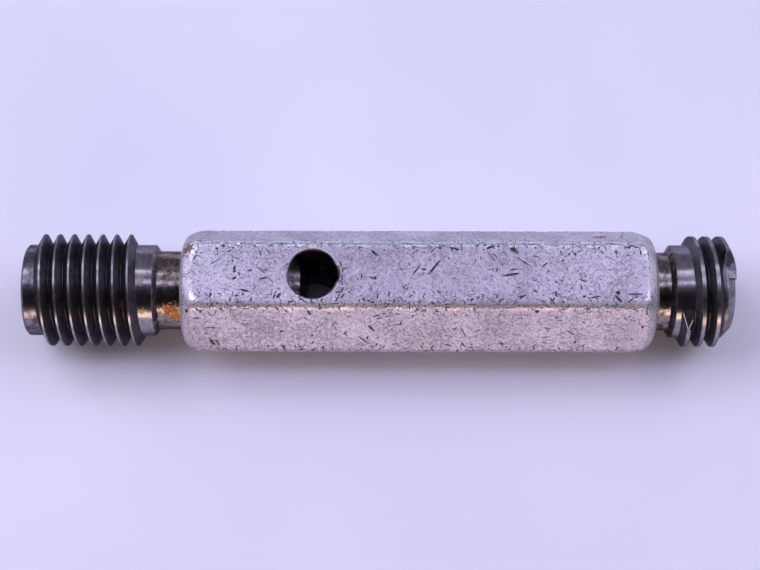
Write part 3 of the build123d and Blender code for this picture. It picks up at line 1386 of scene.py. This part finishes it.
@dataclass
class GaugeMember:
    """Threaded steel member with its stains and dents. Lengths are in millimetres and angles in degrees."""

    view: PictureView
    node: str
    name: str
    outwards: float
    root_radius: float
    thread_inner: float
    thread_outer: float
    front: ZoneLook
    crest: ZoneLook
    gilding: float = 1.0
    lumps: float = 0.0
    broken_edge: float = 0.06
    broken_angle: float = 35.0
    sharp_angle: float = 25.0
    slot: str = "gauge_steel"
    rust_pixels: tuple[PixelSpot, ...] = ()
    shade_patch_pixels: tuple[PixelSpot, ...] = ()
    stain_pixels: tuple[PixelSpot, ...] = ()
    glint_pixels: tuple[Stroke, ...] = ()
    dents: dict[Weight, tuple[Stroke, ...]] = field(default_factory=dict)

    def glints(self, tree: BVHTree) -> tuple[tuple[Vector, Vector], ...]:
        """Find the lines where an edge glints.

        Args:
            tree: Search tree of the surface.

        Returns:
            The two ends on the surface of each line that meets it.
        """
        found = []
        for x0, y0, x1, y1 in self.glint_pixels:
            start, finish = self.view.meet(tree, x0, y0)[0], self.view.meet(tree, x1, y1)[0]
            if start is not None and finish is not None:
                found.append((start, finish))
        return tuple(found)

    def build(self) -> bpy.types.Object:
        """Make the member, with its dents and its broken edges.

        Returns:
            The dressed member.
        """
        piece = merged_copy(self.node, self.name)
        tree = surface_tree(piece)
        self.dress(piece, tree)
        if self.dents:
            cutter = NickCutter(tree)
            cutter.from_pixels(self.view, self.dents)
            combine(piece, cutter.piece(self.name + "_cutter", 0), Combine.CUT)
        break_edges(piece, self.broken_edge, self.broken_angle)
        shade(piece, self.sharp_angle)
        hand_over(piece, self.node)
        return piece

    def dress(self, piece: bpy.types.Object, tree: BVHTree) -> None:
        """Give the member its ground steel.

        Args:
            piece: The member.
            tree: Search tree of its surface.
        """
        low, high = (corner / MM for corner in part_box(self.node))
        steel = SteelFinish(
            name=self.name + "_steel",
            outwards=self.outwards,
            axis_height=(low.z + high.z) / 2,
            crest_radius=(high.z - low.z) / 2,
            root_radius=self.root_radius,
            thread_inner=self.thread_inner,
            thread_outer=self.thread_outer,
            handle_end=max(self.outwards * corner.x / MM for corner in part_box(HANDLE_NODE)),
            front_end=max(self.outwards * low.x, self.outwards * high.x),
            front=self.front,
            crest=self.crest,
            gilding=self.gilding,
            lumps=self.lumps,
            rust=self.view.spots(tree, self.rust_pixels),
            stains=self.view.spots(tree, self.stain_pixels),
            shade_patches=self.view.spots(tree, self.shade_patch_pixels),
            glints=self.glints(tree),
        )
        piece.data.materials.append(steel.material())


@dataclass(frozen=True)
class Panel:
    """Soft rectangular lamp that faces the gauge.

    Its azimuth runs from the rear towards +X. Angles are in degrees, lengths in metres and power in watts.
    """

    name: str
    azimuth: float
    elevation: float
    distance: float
    length: float
    width: float
    power: float
    colour: Colour

    def build(self, target: Vector) -> bpy.types.Object:
        """Make the lamp.

        Args:
            target: The point that it faces.

        Returns:
            The lamp, linked to the scene.
        """
        data = bpy.data.lights.new(self.name, "AREA")
        data.shape = "RECTANGLE"
        data.size = self.length
        data.size_y = self.width
        data.energy = self.power
        data.color = self.colour
        lamp = link_object(self.name, data)
        azimuth, elevation = math.radians(self.azimuth), math.radians(self.elevation)
        along = Vector((math.cos(azimuth), -math.sin(azimuth), 0.0))
        level = Vector((math.sin(azimuth), math.cos(azimuth), 0.0))
        towards = level * math.cos(elevation) + Vector((0.0, 0.0, math.sin(elevation)))
        lamp.matrix_world = Matrix((along, towards.cross(along), towards)).transposed().to_4x4()
        lamp.matrix_world.translation = target + towards * self.distance
        lamp.visible_camera = False
        return lamp


@dataclass
class Studio:
    """Paper floor, soft lamps and a dim room. Lengths are in metres."""

    floor_half: float = 2.5
    room_front: Colour = (0.018, 0.017, 0.024)
    room_rear: Colour = (0.25, 0.238, 0.34)
    room_sides: Colour = (0.42, 0.40, 0.54)
    cool: Colour = (0.66, 0.60, 1.0)
    pale: Colour = (0.76, 0.78, 1.0)
    warm: Colour = (1.0, 0.745, 0.65)

    def floor(self) -> bpy.types.Object:
        """Make the paper floor.

        Returns:
            The floor, linked to the scene.
        """
        shape = bmesh.new()
        bmesh.ops.create_grid(shape, x_segments=1, y_segments=1, size=self.floor_half)
        floor = solid("paper_floor", shape)
        floor.data.materials.append(PaperFinish().material())
        return floor

    def room(self) -> bpy.types.World:
        """Make the dim room round the table.

        Returns:
            The room, darkest in front and paler at its two sides.
        """
        world = bpy.data.worlds.new("dim_room")
        world.use_nodes = True
        graph = NodeGraph(world.node_tree)
        direction = graph.add("ShaderNodeTexCoord").outputs["Generated"]
        sideways, rearward, _ = graph.axes(direction)
        colour = graph.blend(graph.fade(rearward, -0.5, 0.6), self.room_front, self.room_rear)
        colour = graph.blend(graph.fade(graph.size(sideways), 0.55, 0.95), colour, self.room_sides)
        light = graph.add("ShaderNodeBackground", {"Color": colour})
        output = graph.add("ShaderNodeOutputWorld")
        graph.tree.links.new(light.outputs[0], output.inputs["Surface"])
        return world

    def panels(self) -> tuple[Panel, ...]:
        """Choose the lamps: two strips overhead, a broad one at each side and a low one in front.

        Returns:
            The lamps, not yet built.
        """
        strip = {"azimuth": 0.0, "distance": 0.75, "length": 1.3, "colour": self.cool}
        broad = {"elevation": 47.0, "distance": 1.1, "length": 1.0, "width": 0.8, "colour": self.pale}
        low = {"azimuth": 180.0, "elevation": 8.5, "distance": 1.2, "colour": self.warm}
        return (
            Panel("overhead", elevation=86.0, width=0.12, power=1.15, **strip),
            Panel("overhead_rear", elevation=58.0, width=0.06, power=0.42, **strip),
            Panel("side_left", azimuth=-66.0, power=8.4, **broad),
            Panel("side_right", azimuth=66.0, power=4.8, **broad),
            Panel("front_glow", length=1.6, width=0.33, power=6.3, **low),
        )

    def build(self, target: Vector) -> None:
        """Make the floor, the lamps and the room.

        Args:
            target: The point that the lamps face.
        """
        self.floor()
        for panel in self.panels():
            panel.build(target)
        bpy.context.scene.world = self.room()


def main() -> None:
    """Build the camera, the studio and the gauge's three pieces."""
    logging.basicConfig(level=logging.INFO, format="%(name)s: %(message)s")
    bpy.context.scene.view_settings.view_transform = "Standard"
    view = PictureView()
    view.build()
    low, high = CAD_BOX
    Studio().build((Vector(low) + Vector(high)) / 2)
    Handle(view).build()
    GaugeMember(
        view,
        "go_member",
        "go_plug",
        outwards=-1.0,
        root_radius=9.03,
        thread_inner=48.6,
        thread_outer=65.6,
        front=ZoneLook((0.05, 0.046, 0.054), (0.28, 0.26, 0.28), 0.25),
        crest=ZoneLook((0.20, 0.19, 0.195), (0.44, 0.42, 0.42), 0.30),
        rust_pixels=((173.0, 311.0, 1.7), (168.0, 308.0, 1.1), (176.0, 318.0, 1.0)),
        stain_pixels=((139.0, 281.0, 0.7), (141.0, 311.0, 0.8), (122.0, 304.0, 0.6)),
    ).build()
    GaugeMember(
        view,
        "not_go_member",
        "not_go_plug",
        outwards=1.0,
        root_radius=9.26,
        thread_inner=61.6,
        thread_outer=67.7,
        front=ZoneLook((0.16, 0.15, 0.168), (0.42, 0.393, 0.425), 0.42),
        crest=ZoneLook((0.20, 0.19, 0.195), (0.42, 0.40, 0.40), 0.28),
        gilding=0.3,
        lumps=14.0,
        glint_pixels=(
            (683.0, 313.0, 687.6, 328.5),
            (692.6, 319.5, 688.4, 328.5),
            (688.0, 328.5, 686.6, 344.0),
        ),
        # painted shade patch on a front facet
        shade_patch_pixels=((730.0, 256.0, 1.9),),
        dents=FRONT_DENTS,
    ).build()


if __name__ == "__main__":
    main()
